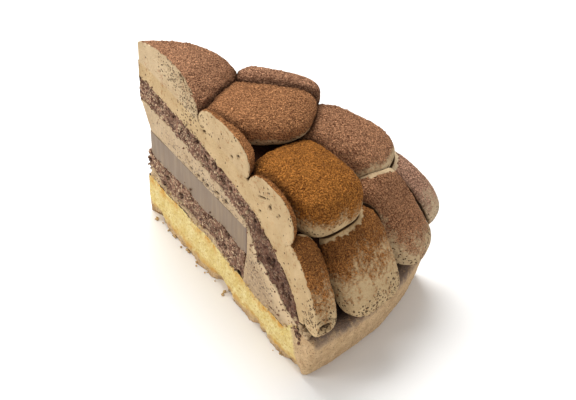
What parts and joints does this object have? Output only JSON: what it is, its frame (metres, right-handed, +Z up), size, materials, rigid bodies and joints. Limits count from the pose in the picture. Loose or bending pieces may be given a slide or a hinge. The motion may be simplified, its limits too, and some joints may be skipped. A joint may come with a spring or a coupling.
{
  "type": "chocolate tart slice",
  "caption": "Wedge of a tall layered mousse tart: shortcrust base, sponge, ganache and mousse layers under rings of cocoa-dusted piped dollops.",
  "frame": {"origin": "centre of the bounding box's bottom, on the surface that the slice stands on", "axes": "+X from the tip to the crust's rim along the middle of the wedge, +Y towards the far cut, +Z up"},
  "size_m": [0.1148, 0.0734, 0.078],
  "materials": {
    "crust": "baked shortcrust",
    "sponge": "open chocolate crumb",
    "ganache": "smooth set chocolate cream",
    "mousse": "aerated cream",
    "cocoa": "cocoa powder on cream"
  },
  "bodies": {
    "root": {"crust": "crust", "base_cream": "mousse", "lower_sponge": "sponge", "ganache": "ganache", "lower_mousse": "mousse", "upper_sponge": "sponge", "upper_mousse": "mousse", "dollop_centre": "cocoa", "dollop_inner_1": "cocoa", "dollop_inner_2": "cocoa", "dollop_inner_3": "cocoa", "dollop_middle_1": "cocoa", "dollop_middle_2": "cocoa", "dollop_middle_3": "cocoa", "dollop_outer_1": "cocoa", "dollop_outer_2": "cocoa", "dollop_outer_3": "cocoa", "dollop_outer_4": "cocoa"}
  },
  "joints": []
}
